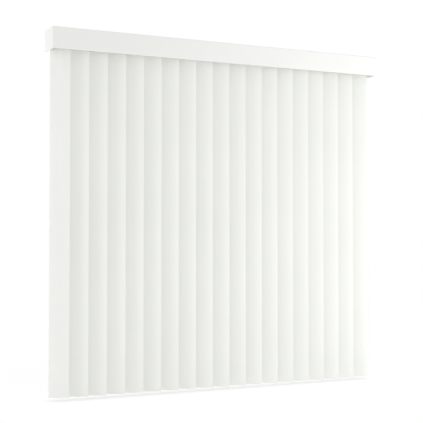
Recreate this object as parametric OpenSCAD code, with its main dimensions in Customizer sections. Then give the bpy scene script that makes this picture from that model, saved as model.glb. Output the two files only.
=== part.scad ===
// Vertical blind: bowed vanes hang from carriers in a headrail, behind a valance with returns.
// X runs along the blind to the right, Y runs back to the wall and Z runs up.
// The origin is the middle of the wall screws, on the wall's surface.

/* [Vanes] */
// Width of a vane from edge to edge
vane_width = 89; // [80:1:100]
// Length of a vane
vane_length = 1543; // [600:1:2400]
// Thickness of a vane's wall
vane_thickness = 0.9; // [0.6:0.1:1.4]
// Height of a vane's bow over its edges
vane_bow = 4; // [2:0.5:5]
// Overlap of two neighbours that lie flat
vane_overlap = 3; // [0:1:8]
// Turn of every vane out of the plane of the blind
vane_turn = 27; // [15:1:90]

/* [Valance] */
// Height of the valance
valance_height = 93; // [90:1:140]
// Wall of the valance strip
valance_wall = 2.4; // [1.6:0.2:4]
// Depth of the lips along the strip's top and bottom
valance_lip = 6; // [5:0.5:7]
// Radius inside the strip's long edges
valance_round = 0.6; // [0.4:0.1:1.2]
// Room that a vane's swing leaves to the wall, and to the valance's face
swing_room = 14.5; // [12:0.5:40]
// Distance from the valance's left end to the first vane's axis
left_margin = 50.5; // [50:0.5:80]
// Distance from the last vane's axis to the valance's right end
right_margin = 71.5; // [66:0.5:120]

/* [Headrail] */
// Width of the headrail's channel
rail_width = 44; // [42:1:56]
// Height of the headrail
rail_height = 26; // [25:1:36]
// Wall of the headrail
rail_wall = 1.4; // [1:0.1:2]
// Width of the slot along the headrail's underside
rail_slot = 18; // [17:0.5:20]
// Reach of the hanging lips along the headrail's top
rail_lip = 2; // [1.5:0.5:3]
// Length of the control end, past the headrail's right end
control_length = 30; // [20:1:34]

/* [Carriers] */
// Length of a carrier along the headrail
carrier_length = 21; // [20:0.5:24]
// Diameter of a carrier's wheels
wheel_diameter = 9; // [8:0.5:9.5]
// Width of a carrier's wheels
wheel_width = 3; // [2:0.5:4]
// Diameter of the tilt rod
rod_diameter = 5.2; // [4.6:0.2:5.8]
// Diameter of a hanger's stem
stem_diameter = 7; // [6:0.5:8]
// Teeth of the wheel on a hanger's stem
gear_teeth = 12; // [10:1:16]

/* [Wall brackets] */
// Distance between the left and right brackets
bracket_span = 1200; // [800:10:1400]
// Width of a bracket
bracket_width = 40; // [36:1:60]
// Height of a bracket's wall plate
bracket_height = 50; // [44:1:58]
// Distance between a bracket's two wall screws
screw_spacing = 30; // [20:1:32]
// Diameter of a wall screw's hole
screw_hole = 5; // [4:0.5:6]
// Thickness of the bracket's sheet steel
bracket_sheet = 1.6; // [1.2:0.1:2.5]

/* [Hidden] */
$fn = 48;

// Overrun of a cut past the face that it opens
cut_over = 1;
// Gap between two pieces that are pushed together
fit_gap = 0.15;
// Gap of a part that turns or rolls on a bearing face
running_gap = 0.2;
// Radial clearance of a shaft in its bearing
bearing_gap = 0.08;
// Clearance of pieces that pass each other
passing_gap = 0.3;

// Vanes and their spacing
vane_count = 19;
vane_pitch = vane_width - vane_overlap;
vane_radius = (pow(vane_width / 2, 2) + pow(vane_bow, 2)) / (2 * vane_bow);
vane_half_angle = asin(vane_width / 2 / vane_radius);
vane_smoothness = 720;
hook_slot_length = 12;
hook_slot_height = 4;
hook_slot_margin = 7;

// Valance, seen from above
valance_width = left_margin + (vane_count - 1) * vane_pitch + right_margin;
valance_left = -valance_width / 2;
valance_depth = vane_width + 2 * swing_room;
vane_y = -valance_depth / 2;
valance_outer_round = valance_round + valance_wall;
valance_face_inset = valance_wall + fit_gap;
valance_lip_inset = valance_wall + valance_round + fit_gap;
corner_arm = 28;
corner_wall = 1.8;

// Rail clip and its bolt
clip_sheet = 1.4;
clip_width = 30;
bolt_diameter = 5;
bolt_hole_gap = 0.25;
bolt_head_height = 3.2;
bolt_head_across_corners = 9.2;
bolt_end = 1.5;
nut_height = 4;
bolt_head_room = 1;
clip_rise = bolt_head_height + bolt_head_room;

// Levels from the top of the valance down to the vanes
valance_over_bracket = 8;
vane_drop = 13;
bracket_top = bracket_height / 2;
arm_under = bracket_top - bracket_sheet;
clip_under = arm_under - clip_sheet;
rail_top = clip_under - clip_rise;
rail_bottom = rail_top - rail_height;
valance_top = bracket_top + valance_over_bracket;
valance_bottom = valance_top - valance_height;
vane_top = rail_bottom - vane_drop;

// Headrail and its ends
cap_room = 3;
cap_plate = 3;
cap_rim = 0.6;
cap_wall = 2;
plug_length = 12;
rail_inside = rail_width / 2 - rail_wall;
rail_lip_height = 1.5;
rail_left = valance_left + valance_wall + cap_room + cap_plate;
rail_right = -valance_left - valance_wall - cap_room - control_length;
outlet_bore = 4.4;
outlet_wall = 1.4;
outlet_drop = 5;
cap_screw_diameter = 2.8;
cap_screw_length = 6;
cap_screw_head = 5.6;
cap_screw_head_height = 1.8;
cap_screw_gap = 0.2;
cap_screw_y = rail_inside / 2;

// Worm and worm wheel of a carrier
housing_wall = 1.2;
rod_gap = 0.35;
worm_wall = 1.4;
worm_ridge = 0.7;
gear_radius = 5;
gear_height = 6;
gear_tooth = 0.9;
rod_radius = rod_diameter / 2;
worm_bore = rod_radius + rod_gap;
worm_radius = worm_bore + worm_wall;
worm_pitch = 2 * PI * (gear_radius - gear_tooth / 2) / gear_teeth;
worm_turns = 5;
worm_length = worm_turns * worm_pitch;
rod_y = gear_radius + passing_gap + worm_radius;

// Levels of a carrier over the headrail's underside
wheel_radius = wheel_diameter / 2;
wheel_level = rail_wall + running_gap + wheel_radius;
deck_gap = 0.6;
deck_level = wheel_level + wheel_radius + deck_gap;
rod_level = deck_level + housing_wall + worm_radius + fit_gap;
roof_level = rod_level + worm_radius + fit_gap + housing_wall;
gear_level = rod_level - gear_height / 2;

// Body of a carrier
core_gap = 1.4;
core_half = rail_slot / 2 - core_gap;
wheel_inset = 1.2;
wheel_inner = rail_slot / 2 + wheel_inset;
wheel_gap = 2;
wheel_x = wheel_radius + wheel_gap / 2;
axle_radius = 1.5;
axle_head = 0.6;
wheel_dish = 0.5;
wheel_rim = 1;
neck_wall = 2.6;
neck_drop = 7;
stem_radius = stem_diameter / 2;
gear_pocket = gear_radius + passing_gap;

// Spacer links, which run past the carriers in lanes of their own
lane_count = 5;
lane_pitch = 1;
link_sheet = 0.5;
link_height = 6;
link_bump = 1.2;
link_bump_length = 2;
link_tab = 8;
catch_length = 3;
lane_start = gear_pocket + housing_wall;
window_floor = deck_level + housing_wall;
window_height = link_height + link_bump + 2 * passing_gap;
link_floor = window_floor + link_bump + passing_gap;
link_reach = vane_pitch + carrier_length / 2 + passing_gap;

// Hanger under the carrier
slit = vane_thickness + 2 * fit_gap;
slit_top_gap = 1;
nib_width = 5;
nib_height = 2.6;
nib_gap = 0.1;
prong_tail = 3.3;
nib_top = vane_top - hook_slot_margin - nib_gap;
hanger_bottom = nib_top - nib_height - prong_tail;

// Wall brackets and valance clips along the blind
bracket_places = [-bracket_span / 2, 0, bracket_span / 2];
bracket_nose = 12;
bracket_corner = 4;
gusset_reach = 24;
gusset_drop = 22;
valance_clip_width = 18;
valance_clip_seat = 10;
valance_clip_offset = 70;
valance_clip_places = [for (x = bracket_places) x + valance_clip_offset];

function numbered(word, i) = str(word, i < 10 ? "_0" : "_", i);
function vane_x(i) = valance_left + left_margin + (i - 1) * vane_pitch;
function lane_y(i) = -lane_start - lane_pitch * ((i % lane_count) + 1 / 2);

// Extrudes a section drawn in Y and Z along X, from one place to another.
module along_x(from, to) {
    translate([from, 0, 0])
        rotate([90, 0, 90])
            linear_extrude(to - from) children();
}

// A cylinder along X from one place to another.
module bar_x(from, to, radius) {
    translate([from, 0, 0])
        rotate([0, 90, 0]) cylinder(h = to - from, r = radius);
}

// A rectangle with its lower left corner at the origin and round corners.
module round_plate(width, height, radius) {
    translate([radius, 0]) square([width - 2 * radius, height]);
    translate([0, radius]) square([width, height - 2 * radius]);
    for (x = [radius, width - radius])
        for (y = [radius, height - radius])
            translate([x, y]) circle(radius);
}

// The vane's bowed wall, crown at the axis and towards the room.
module slat() {
    difference() {
        translate([0, vane_radius - vane_thickness / 2, vane_top - vane_length])
            rotate([0, 0, -90 - vane_half_angle])
                rotate_extrude(angle = 2 * vane_half_angle, $fn = vane_smoothness)
                    translate([vane_radius - vane_thickness, 0])
                        square([vane_thickness, vane_length]);
        translate([0, 0, vane_top - hook_slot_margin - hook_slot_height / 2])
            rotate([90, 0, 0])
                linear_extrude(2 * vane_bow, center = true)
                    translate([-hook_slot_length / 2, -hook_slot_height / 2])
                        round_plate(hook_slot_length, hook_slot_height, hook_slot_height / 2 - nib_gap);
    }
}

// Outline of the toothed wheel on a hanger's stem.
module gear_outline() {
    tooth_angle = 360 / gear_teeth;
    root = gear_radius - gear_tooth;
    flank_shares = [[0, 0], [0.2, 1], [0.5, 1], [0.7, 0]];
    polygon([
        for (tooth = [0:gear_teeth - 1])
            for (flank = flank_shares)
                let (radius = root + flank[1] * gear_tooth)
                    radius * [cos((tooth + flank[0]) * tooth_angle), sin((tooth + flank[0]) * tooth_angle)]
    ]);
}

// Stem with its toothed wheel, slit from below for the vane, and the nib that carries the vane.
module hanger() {
    translate([0, 0, rail_bottom + gear_level])
        linear_extrude(gear_height) gear_outline();
    difference() {
        translate([0, 0, hanger_bottom])
            cylinder(h = rail_bottom + gear_level - hanger_bottom, r = stem_radius);
        translate([-stem_diameter, -slit / 2, hanger_bottom - cut_over])
            cube([2 * stem_diameter, slit, vane_top + slit_top_gap - hanger_bottom + cut_over]);
    }
    translate([-nib_width / 2, -slit / 2 - fit_gap, nib_top - nib_height])
        cube([nib_width, slit + 2 * fit_gap, nib_height]);
}

module vane(i) {
    color("ivory")
        translate([vane_x(i), vane_y, 0])
            rotate([0, 0, -vane_turn]) {
                slat();
                hanger();
            }
}

// Section of a carrier's upper housing: link passage in front, gear in the middle, worm barrel behind.
module housing_section() {
    front = lane_start + lane_count * lane_pitch + housing_wall;
    translate([-front, deck_level]) square([front + rod_y, roof_level - deck_level]);
    translate([rod_y, rod_level]) circle(roof_level - rod_level);
}

// A wheel on its axle, standing out from the carrier's side along Y.
module carrier_wheel() {
    rotate([-90, 0, 0]) {
        difference() {
            translate([0, 0, wheel_inner]) cylinder(h = wheel_width, r = wheel_radius);
            translate([0, 0, wheel_inner + wheel_width - wheel_dish])
                cylinder(h = wheel_dish + cut_over, r = wheel_radius - wheel_rim);
        }
        cylinder(h = wheel_inner + wheel_width + axle_head, r = axle_radius);
    }
}

module carrier_housing(i) {
    half = carrier_length / 2;
    difference() {
        union() {
            along_x(-half, half) housing_section();
            translate([-half, -core_half, 0]) cube([carrier_length, 2 * core_half, deck_level + housing_wall]);
            translate([0, 0, -neck_drop]) cylinder(h = neck_drop + deck_level, r = stem_radius + neck_wall);
            for (x = [-wheel_x, wheel_x])
                for (side = [0, 1])
                    translate([x, 0, wheel_level]) mirror([0, side, 0]) carrier_wheel();
        }
        // Bearing of the stem, and the pocket of its toothed wheel
        translate([0, 0, -neck_drop - cut_over])
            cylinder(h = neck_drop + roof_level, r = stem_radius + bearing_gap);
        translate([0, 0, gear_level - running_gap]) cylinder(h = roof_level, r = gear_pocket);
        // Bore of the tilt rod, and the pocket of the worm
        translate([0, rod_y, rod_level]) {
            bar_x(-half - cut_over, half + cut_over, worm_bore);
            bar_x(-worm_length / 2 - fit_gap, worm_length / 2 + fit_gap, worm_radius + fit_gap);
            translate([-worm_length / 2 - fit_gap, -rod_radius, 0])
                cube([worm_length + 2 * fit_gap, rod_diameter, roof_level]);
        }
        // Passage of the spacer links
        translate([-half - cut_over, -lane_start - lane_count * lane_pitch, window_floor])
            cube([carrier_length + 2 * cut_over, lane_count * lane_pitch, window_height]);
        // Seat of this carrier's own link
        if (i > 1)
            translate([-link_tab / 2 - fit_gap, lane_y(i) - link_sheet / 2 - fit_gap, window_floor])
                cube([link_tab + 2 * fit_gap, link_sheet + 2 * fit_gap, roof_level]);
    }
    // Catch for the neighbour's link
    if (i < vane_count)
        translate([-half, lane_y(i + 1) - link_sheet / 2, deck_level])
            cube([catch_length, link_sheet, link_floor - passing_gap - deck_level]);
}

// Worm that the tilt rod turns, with its ridges.
module worm() {
    root = worm_radius - worm_ridge;
    ridge_shares = [[0, 0], [0.3, 1], [0.5, 1], [0.8, 0]];
    translate([-worm_length / 2, rod_y, rod_level])
        rotate([0, 90, 0])
            rotate_extrude()
                polygon(concat(
                    [[worm_bore, 0]],
                    [for (turn = [0:worm_turns - 1])
                        for (ridge = ridge_shares)
                            [root + ridge[1] * worm_ridge, (turn + ridge[0]) * worm_pitch]],
                    [[root, worm_length], [worm_bore, worm_length]]
                ));
}

// Strip that spaces a carrier from the one on its left, with a bump that stops on that one.
module spacer_link(i) {
    translate([-link_reach - link_bump_length, lane_y(i) - link_sheet / 2, link_floor]) {
        cube([link_reach + link_bump_length + link_tab / 2, link_sheet, link_height]);
        translate([0, 0, -link_bump]) cube([link_bump_length, link_sheet, 2 * link_bump]);
        translate([link_reach + link_bump_length - link_tab / 2, 0, 0])
            cube([link_tab, link_sheet, roof_level - link_floor]);
    }
}

module carrier(i) {
    color("gainsboro")
        translate([vane_x(i), vane_y, rail_bottom]) {
            carrier_housing(i);
            worm();
            if (i > 1) spacer_link(i);
        }
}

// Holes for the screws of one end cap, through the headrail's top.
module cap_screw_places(x) {
    for (y = [-cap_screw_y, cap_screw_y])
        translate([x, vane_y + y, rail_top]) children();
}

cap_screw_left = rail_left + plug_length / 2;
cap_screw_right = rail_right - plug_length / 2;

module rail_outline() {
    translate([-rail_width / 2, 0]) square([rail_width, rail_height]);
    translate([-rail_width / 2 - rail_lip, rail_height - rail_lip_height])
        square([rail_width + 2 * rail_lip, rail_lip_height]);
}

module headrail() {
    color("white")
        difference() {
            translate([0, vane_y, rail_bottom])
                along_x(rail_left, rail_right)
                    difference() {
                        rail_outline();
                        translate([-rail_inside, rail_wall])
                            square([2 * rail_inside, rail_height - 2 * rail_wall]);
                        translate([-rail_slot / 2, -cut_over])
                            square([rail_slot, rail_wall + 2 * cut_over]);
                    }
            for (x = [cap_screw_left, cap_screw_right])
                cap_screw_places(x)
                    translate([0, 0, -rail_wall - cut_over])
                        cylinder(h = rail_wall + 2 * cut_over, r = cap_screw_diameter / 2 + cap_screw_gap);
        }
}

// Hollow plug that fills a headrail's end, from one place to another.
module cap_plug(from, to) {
    half = rail_inside - fit_gap;
    floor_level = rail_bottom + rail_wall + fit_gap;
    height = rail_height - 2 * rail_wall - 2 * fit_gap;
    translate([0, vane_y, floor_level])
        along_x(from, to)
            difference() {
                translate([-half, 0]) square([2 * half, height]);
                translate([-half + cap_wall, cap_wall]) square([2 * (half - cap_wall), height - 3 * cap_wall]);
            }
    translate([0, vane_y + rod_y, rail_bottom + rod_level])
        bar_x(from, to, worm_radius);
}

module rod_place() {
    translate([0, vane_y + rod_y, rail_bottom + rod_level]) children();
}

module cap_screw_pilots(x) {
    cap_screw_places(x)
        translate([0, 0, -cap_screw_length - cut_over])
            cylinder(h = cap_screw_length + cut_over, r = cap_screw_diameter / 2 + bearing_gap);
}

module cap_face_outline() {
    width = rail_width + 2 * rail_lip + 2 * cap_rim;
    translate([-width / 2, -cap_rim])
        round_plate(width, rail_height + 2 * cap_rim, cap_wall);
}

module end_cap_left() {
    color("white")
        difference() {
            union() {
                translate([0, vane_y, rail_bottom])
                    along_x(rail_left - cap_plate, rail_left) cap_face_outline();
                cap_plug(rail_left - cap_plate / 2, rail_left + plug_length);
            }
            rod_place() bar_x(rail_left, rail_left + plug_length + cut_over, rod_radius + bearing_gap);
            cap_screw_pilots(cap_screw_left);
        }
}

// Places of the two outlets under the control end.
outlet_places = [for (side = [-1, 1]) [rail_right + control_length / 2, vane_y + side * rail_inside / 2]];

module end_cap_right() {
    room = control_length - 2 * cap_plate;
    color("white")
        difference() {
            union() {
                translate([0, vane_y, rail_bottom])
                    along_x(rail_right, rail_right + control_length) cap_face_outline();
                cap_plug(rail_right - plug_length, rail_right + cap_plate / 2);
                for (place = outlet_places)
                    translate([place[0], place[1], rail_bottom - outlet_drop])
                        cylinder(h = outlet_drop + cap_wall, r = outlet_bore / 2 + outlet_wall);
            }
            translate([rail_right + cap_plate, vane_y - rail_inside, rail_bottom + cap_wall])
                cube([room, 2 * rail_inside, rail_height - 2 * cap_wall]);
            for (place = outlet_places)
                translate([place[0], place[1], rail_bottom - outlet_drop - cut_over])
                    cylinder(h = outlet_drop + 2 * cap_wall + cut_over, r = outlet_bore / 2);
            rod_place()
                bar_x(rail_right - plug_length - cut_over, rail_right + 2 * cap_plate, rod_radius + bearing_gap);
            cap_screw_pilots(cap_screw_right);
        }
}

module end_cap_screws() {
    color("silver")
        for (x = [cap_screw_left, cap_screw_right])
            cap_screw_places(x) {
                cylinder(h = cap_screw_head_height, r = cap_screw_head / 2);
                translate([0, 0, -cap_screw_length]) cylinder(h = cap_screw_length, r = cap_screw_diameter / 2);
            }
}

// Fluted rod with plain journals in the end caps.
module tilt_rod() {
    flute = rod_radius / 3;
    color("lightgray")
        rod_place()
            difference() {
                bar_x(rail_left + running_gap, rail_right + 2 * cap_plate, rod_radius);
                for (turn = [0:2])
                    rotate([turn * 120, 0, 0])
                        translate([rail_left + plug_length + cut_over, -flute / 2, rod_radius - flute])
                            cube([rail_right - rail_left - 2 * (plug_length + cut_over), flute, 2 * flute]);
            }
}

// Section of the valance strip: depth from the outer face along Y, height along Z.
module valance_section() {
    difference() {
        strip_outline(valance_lip, valance_height, valance_outer_round);
        translate([valance_wall, valance_wall])
            strip_outline(valance_lip, valance_height - 2 * valance_wall, valance_round);
    }
}

// A rectangle whose two corners at the outer face are round.
module strip_outline(depth, height, radius) {
    translate([radius, 0]) square([depth - radius, height]);
    translate([0, radius]) square([depth, height - 2 * radius]);
    for (level = [radius, height - radius])
        translate([radius, level]) circle(radius);
}

// Everything on one side of the mitre at the valance's left front corner.
module mitre_block(side) {
    reach = 2 * valance_lip;
    translate([valance_left, -valance_depth, valance_bottom - cut_over])
        rotate([0, 0, 45])
            translate([-reach, side > 0 ? -fit_gap / 2 : fit_gap / 2 - reach, 0])
                cube([3 * reach, reach, valance_height + 2 * cut_over]);
}

module valance_panel() {
    color("white")
        difference() {
            translate([0, -valance_depth, valance_bottom])
                along_x(valance_left, -valance_left) valance_section();
            mitre_block(1);
            mirror([1, 0, 0]) mitre_block(1);
        }
}

module valance_return() {
    color("white")
        difference() {
            translate([valance_left, 0, valance_bottom])
                rotate([90, 0, 0]) linear_extrude(valance_depth) valance_section();
            mitre_block(-1);
        }
}

module valance_return_left() valance_return();

module valance_return_right() mirror([1, 0, 0]) valance_return();

// Angle that holds the panel and a return together, between their lips.
module valance_corner() {
    inset = valance_face_inset;
    height = valance_height - 2 * valance_lip_inset;
    color("whitesmoke")
        translate([valance_left + inset, -valance_depth + inset, valance_bottom + valance_lip_inset]) {
            cube([corner_arm, corner_wall, height]);
            cube([corner_wall, corner_arm, height]);
        }
}

module valance_corner_left() valance_corner();

module valance_corner_right() mirror([1, 0, 0]) valance_corner();

// Strip clip: hooks on the headrail's front lip and reaches the panel, which it fills between the lips.
module valance_clip(x) {
    lip_front = vane_y - rail_width / 2 - rail_lip - fit_gap;
    lip_under = rail_top - rail_lip_height - fit_gap;
    panel_inside = -valance_depth + valance_face_inset;
    color("whitesmoke")
        along_x(x - valance_clip_width / 2, x + valance_clip_width / 2) {
            translate([panel_inside, rail_top])
                square([lip_front + valance_clip_seat - panel_inside, clip_sheet]);
            translate([lip_front - clip_sheet, lip_under - clip_sheet])
                square([clip_sheet, rail_top - lip_under + 2 * clip_sheet]);
            translate([lip_front - clip_sheet, lip_under - clip_sheet])
                square([clip_sheet + rail_lip, clip_sheet]);
            translate([panel_inside, valance_bottom + valance_lip_inset])
                square([clip_sheet, valance_height - 2 * valance_lip_inset]);
        }
}

module valance_clip_left() valance_clip(valance_clip_places[0]);

module valance_clip_centre() valance_clip(valance_clip_places[1]);

module valance_clip_right() valance_clip(valance_clip_places[2]);

// Bent steel bracket: a wall plate, an arm over the headrail and two gussets.
module wall_bracket(x) {
    half = bracket_width / 2;
    reach = -vane_y + bracket_nose;
    color("silver")
        translate([x, 0, 0])
            difference() {
                union() {
                    translate([-half, 0, -bracket_height / 2])
                        rotate([90, 0, 0])
                            linear_extrude(bracket_sheet)
                                round_plate(bracket_width, bracket_height, bracket_corner);
                    translate([-half, -reach, arm_under])
                        linear_extrude(bracket_sheet)
                            round_plate(bracket_width, reach, bracket_corner);
                    translate([-half, -bracket_sheet - bracket_corner, arm_under])
                        cube([bracket_width, bracket_sheet + bracket_corner, bracket_sheet]);
                    translate([-half, -bracket_sheet, bracket_top - 2 * bracket_corner])
                        cube([bracket_width, bracket_sheet, 2 * bracket_corner]);
                    for (side = [-half, half - bracket_sheet])
                        along_x(side, side + bracket_sheet)
                            polygon([
                                [-bracket_sheet / 2, bracket_top - bracket_sheet / 2],
                                [-gusset_reach, bracket_top - bracket_sheet / 2],
                                [-gusset_reach, arm_under - bracket_sheet],
                                [-bracket_sheet / 2 - bracket_sheet, arm_under - gusset_drop],
                                [-bracket_sheet / 2, arm_under - gusset_drop]
                            ]);
                }
                for (level = [-screw_spacing / 2, screw_spacing / 2])
                    translate([0, 0, level])
                        rotate([90, 0, 0])
                            translate([0, 0, -cut_over])
                                cylinder(h = bracket_sheet + 2 * cut_over, r = screw_hole / 2);
                translate([0, vane_y, arm_under - cut_over])
                    cylinder(h = bracket_sheet + 2 * cut_over, r = bolt_diameter / 2 + bolt_hole_gap);
            }
}

module wall_bracket_left() wall_bracket(bracket_places[0]);

module wall_bracket_centre() wall_bracket(bracket_places[1]);

module wall_bracket_right() wall_bracket(bracket_places[2]);

// Spring clip under a bracket's arm, whose two feet hold the headrail's lips.
module rail_clip(x) {
    half = rail_width / 2 + rail_lip + fit_gap;
    lip_under = rail_top - rail_lip_height - fit_gap;
    color("lightsteelblue")
        difference() {
            translate([0, vane_y, 0])
                along_x(x - clip_width / 2, x + clip_width / 2) {
                    translate([-half - clip_sheet, clip_under])
                        square([2 * (half + clip_sheet), clip_sheet]);
                    for (side = [0, 1])
                        mirror([side, 0]) {
                            translate([half, lip_under - clip_sheet])
                                square([clip_sheet, clip_under - lip_under + 2 * clip_sheet]);
                            translate([half - rail_lip, lip_under - clip_sheet])
                                square([rail_lip + clip_sheet, clip_sheet]);
                        }
                }
            translate([x, vane_y, clip_under - cut_over])
                cylinder(h = clip_sheet + 2 * cut_over, r = bolt_diameter / 2 + bolt_hole_gap);
        }
}

module rail_clip_left() rail_clip(bracket_places[0]);

module rail_clip_centre() rail_clip(bracket_places[1]);

module rail_clip_right() rail_clip(bracket_places[2]);

module hexagon_bar(height) {
    cylinder(h = height, r = bolt_head_across_corners / 2, $fn = 6);
}

module clip_bolts() {
    color("silver")
        for (x = bracket_places)
            translate([x, vane_y, clip_under - bolt_head_height]) {
                hexagon_bar(bolt_head_height);
                cylinder(
                    h = bracket_top + nut_height + bolt_end - clip_under + bolt_head_height,
                    r = bolt_diameter / 2
                );
            }
}

module clip_nuts() {
    color("silver")
        for (x = bracket_places)
            translate([x, vane_y, bracket_top])
                difference() {
                    hexagon_bar(nut_height);
                    translate([0, 0, -cut_over])
                        cylinder(h = nut_height + 2 * cut_over, r = bolt_diameter / 2 + bearing_gap);
                }
}

for (i = [1:vane_count]) {
    vane(i);
    carrier(i);
}
headrail();
end_cap_left();
end_cap_right();
end_cap_screws();
tilt_rod();
valance_panel();
valance_return_left();
valance_return_right();
valance_corner_left();
valance_corner_right();
valance_clip_left();
valance_clip_centre();
valance_clip_right();
wall_bracket_left();
wall_bracket_centre();
wall_bracket_right();
rail_clip_left();
rail_clip_centre();
rail_clip_right();
clip_bolts();
clip_nuts();
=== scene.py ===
"""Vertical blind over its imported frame: vanes, hangers, fasteners, finishes and a plain studio stage."""
import math

import bpy
from mathutils import Euler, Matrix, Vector


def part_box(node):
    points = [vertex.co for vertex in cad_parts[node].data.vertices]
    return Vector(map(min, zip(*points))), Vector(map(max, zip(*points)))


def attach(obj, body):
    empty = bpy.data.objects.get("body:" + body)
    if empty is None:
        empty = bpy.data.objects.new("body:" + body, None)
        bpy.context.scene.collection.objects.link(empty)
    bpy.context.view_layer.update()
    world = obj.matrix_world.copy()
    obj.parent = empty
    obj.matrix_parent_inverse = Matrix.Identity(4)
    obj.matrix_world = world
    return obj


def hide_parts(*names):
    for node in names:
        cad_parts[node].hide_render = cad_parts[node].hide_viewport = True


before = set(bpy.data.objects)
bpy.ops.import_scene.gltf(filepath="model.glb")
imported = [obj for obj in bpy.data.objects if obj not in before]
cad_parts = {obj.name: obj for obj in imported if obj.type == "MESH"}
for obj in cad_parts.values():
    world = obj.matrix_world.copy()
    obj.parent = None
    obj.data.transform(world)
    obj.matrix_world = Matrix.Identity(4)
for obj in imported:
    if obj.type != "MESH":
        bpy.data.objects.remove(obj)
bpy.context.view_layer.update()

bl_info = {
    "name": "Vertical Blind",
    "version": (1, 0, 0),
    "blender": (4, 5, 0),
    "location": "View3D > Sidebar > Blind",
    "description": "Dresses the frame of a vertical blind with vanes, hangers, fasteners and finishes",
    "category": "Object",
}

MILLIMETRE = 0.001
WHITE = (1.0, 1.0, 1.0, 1.0)

# Angles over which an edge stays sharp
VANE_CREASE = math.radians(35)
HANGER_CREASE = math.radians(25)
FASTENER_CREASE = math.radians(28)

# Range that noise mostly fills
NOISE_LOW = 0.3
NOISE_HIGH = 0.7

# Nodes of the frame by finish
VANE_NODES = sorted(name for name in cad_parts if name.startswith("vane_"))
CARRIER_NODES = sorted(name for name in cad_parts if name.startswith("carrier_"))
VALANCE_ALONG_X = ["valance_panel"]
VALANCE_ALONG_Y = ["valance_return_left", "valance_return_right"]
MOULDED_NODES = [
    "end_cap_left", "end_cap_right", "valance_corner_left", "valance_corner_right",
    "valance_clip_left", "valance_clip_centre", "valance_clip_right",
]
BRACKET_NODES = ["wall_bracket_left", "wall_bracket_centre", "wall_bracket_right"]
CLIP_NODES = ["rail_clip_left", "rail_clip_centre", "rail_clip_right"]

# Places that the frame gives
VANE_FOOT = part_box(VANE_NODES[0])[0].z
RAIL_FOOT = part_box("headrail")[0].z
VALANCE_LOW, VALANCE_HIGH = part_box("valance_panel")


# Settings for the sidebar

def length(name, description, default):
    """A length in metres."""
    return bpy.props.FloatProperty(
        name=name, description=description, default=default, precision=5, unit="LENGTH", subtype="DISTANCE"
    )


def colour(name, description, default):
    """A linear colour."""
    return bpy.props.FloatVectorProperty(
        name=name, description=description, default=default, size=3, min=0.0, max=1.0, subtype="COLOR"
    )


def power(name, description, default):
    """A lamp's power in watts."""
    return bpy.props.FloatProperty(name=name, description=description, default=default, min=0.0, unit="POWER")


def level(name, description, default):
    """A level of light or shade."""
    return bpy.props.FloatProperty(name=name, description=description, default=default, min=0.0, precision=3)


class BlindVaneSizes(bpy.types.PropertyGroup):
    """Sizes of one vane and of its row."""

    width: length("Vane width", "Width of a vane from edge to edge", 89 * MILLIMETRE)
    height: length("Vane length", "Length of a vane", 1543 * MILLIMETRE)
    thickness: length("Vane wall", "Thickness of a vane's wall", 0.9 * MILLIMETRE)
    bow: length("Vane bow", "Height of a vane's bow over its edges", 4 * MILLIMETRE)
    edge: length("Edge radius", "Radius along a vane's cut ends", 0.3 * MILLIMETRE)
    first: length("First axis", "Place of the first vane's axis along the headrail", -784.5 * MILLIMETRE)
    pitch: length("Pitch", "Distance between two vanes", 86 * MILLIMETRE)
    back: length("Axis depth", "Place of the vanes' axes in front of the wall", -59 * MILLIMETRE)
    slot_length: length("Slot length", "Length of the slot that the hanger's nib holds", 12 * MILLIMETRE)
    slot_height: length("Slot height", "Height of the slot that the hanger's nib holds", 4 * MILLIMETRE)
    slot_margin: length("Slot margin", "Strip of vane over the slot", 7 * MILLIMETRE)
    turn: bpy.props.FloatProperty(
        name="Turn", description="Turn of every vane out of the plane of the blind",
        default=math.radians(27), subtype="ANGLE", unit="ROTATION",
    )


class BlindHangerSizes(bpy.types.PropertyGroup):
    """Sizes of one hanger, with its heights from the headrail's underside."""

    stem_radius: length("Stem radius", "Radius of the stem", 3.5 * MILLIMETRE)
    stem_foot: length("Stem foot", "Height of the stem's lower end", -26 * MILLIMETRE)
    gear_level: length("Wheel level", "Height of the toothed wheel's lower face", 13.9 * MILLIMETRE)
    gear_height: length("Wheel height", "Height of the toothed wheel", 6 * MILLIMETRE)
    gear_radius: length("Wheel radius", "Radius over the teeth", 5 * MILLIMETRE)
    gear_tooth: length("Tooth depth", "Depth of a tooth", 0.9 * MILLIMETRE)
    slit: length("Slit", "Width of the slit for the vane", 1.2 * MILLIMETRE)
    slit_top: length("Slit top", "Height of the slit's upper end", -12 * MILLIMETRE)
    nib_width: length("Nib width", "Width of the nib", 5 * MILLIMETRE)
    nib_height: length("Nib height", "Height of the nib", 2.6 * MILLIMETRE)
    nib_top: length("Nib top", "Height of the nib's upper face", -20.1 * MILLIMETRE)
    teeth: bpy.props.IntProperty(name="Teeth", description="Teeth of the wheel", default=12, min=6)


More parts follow.
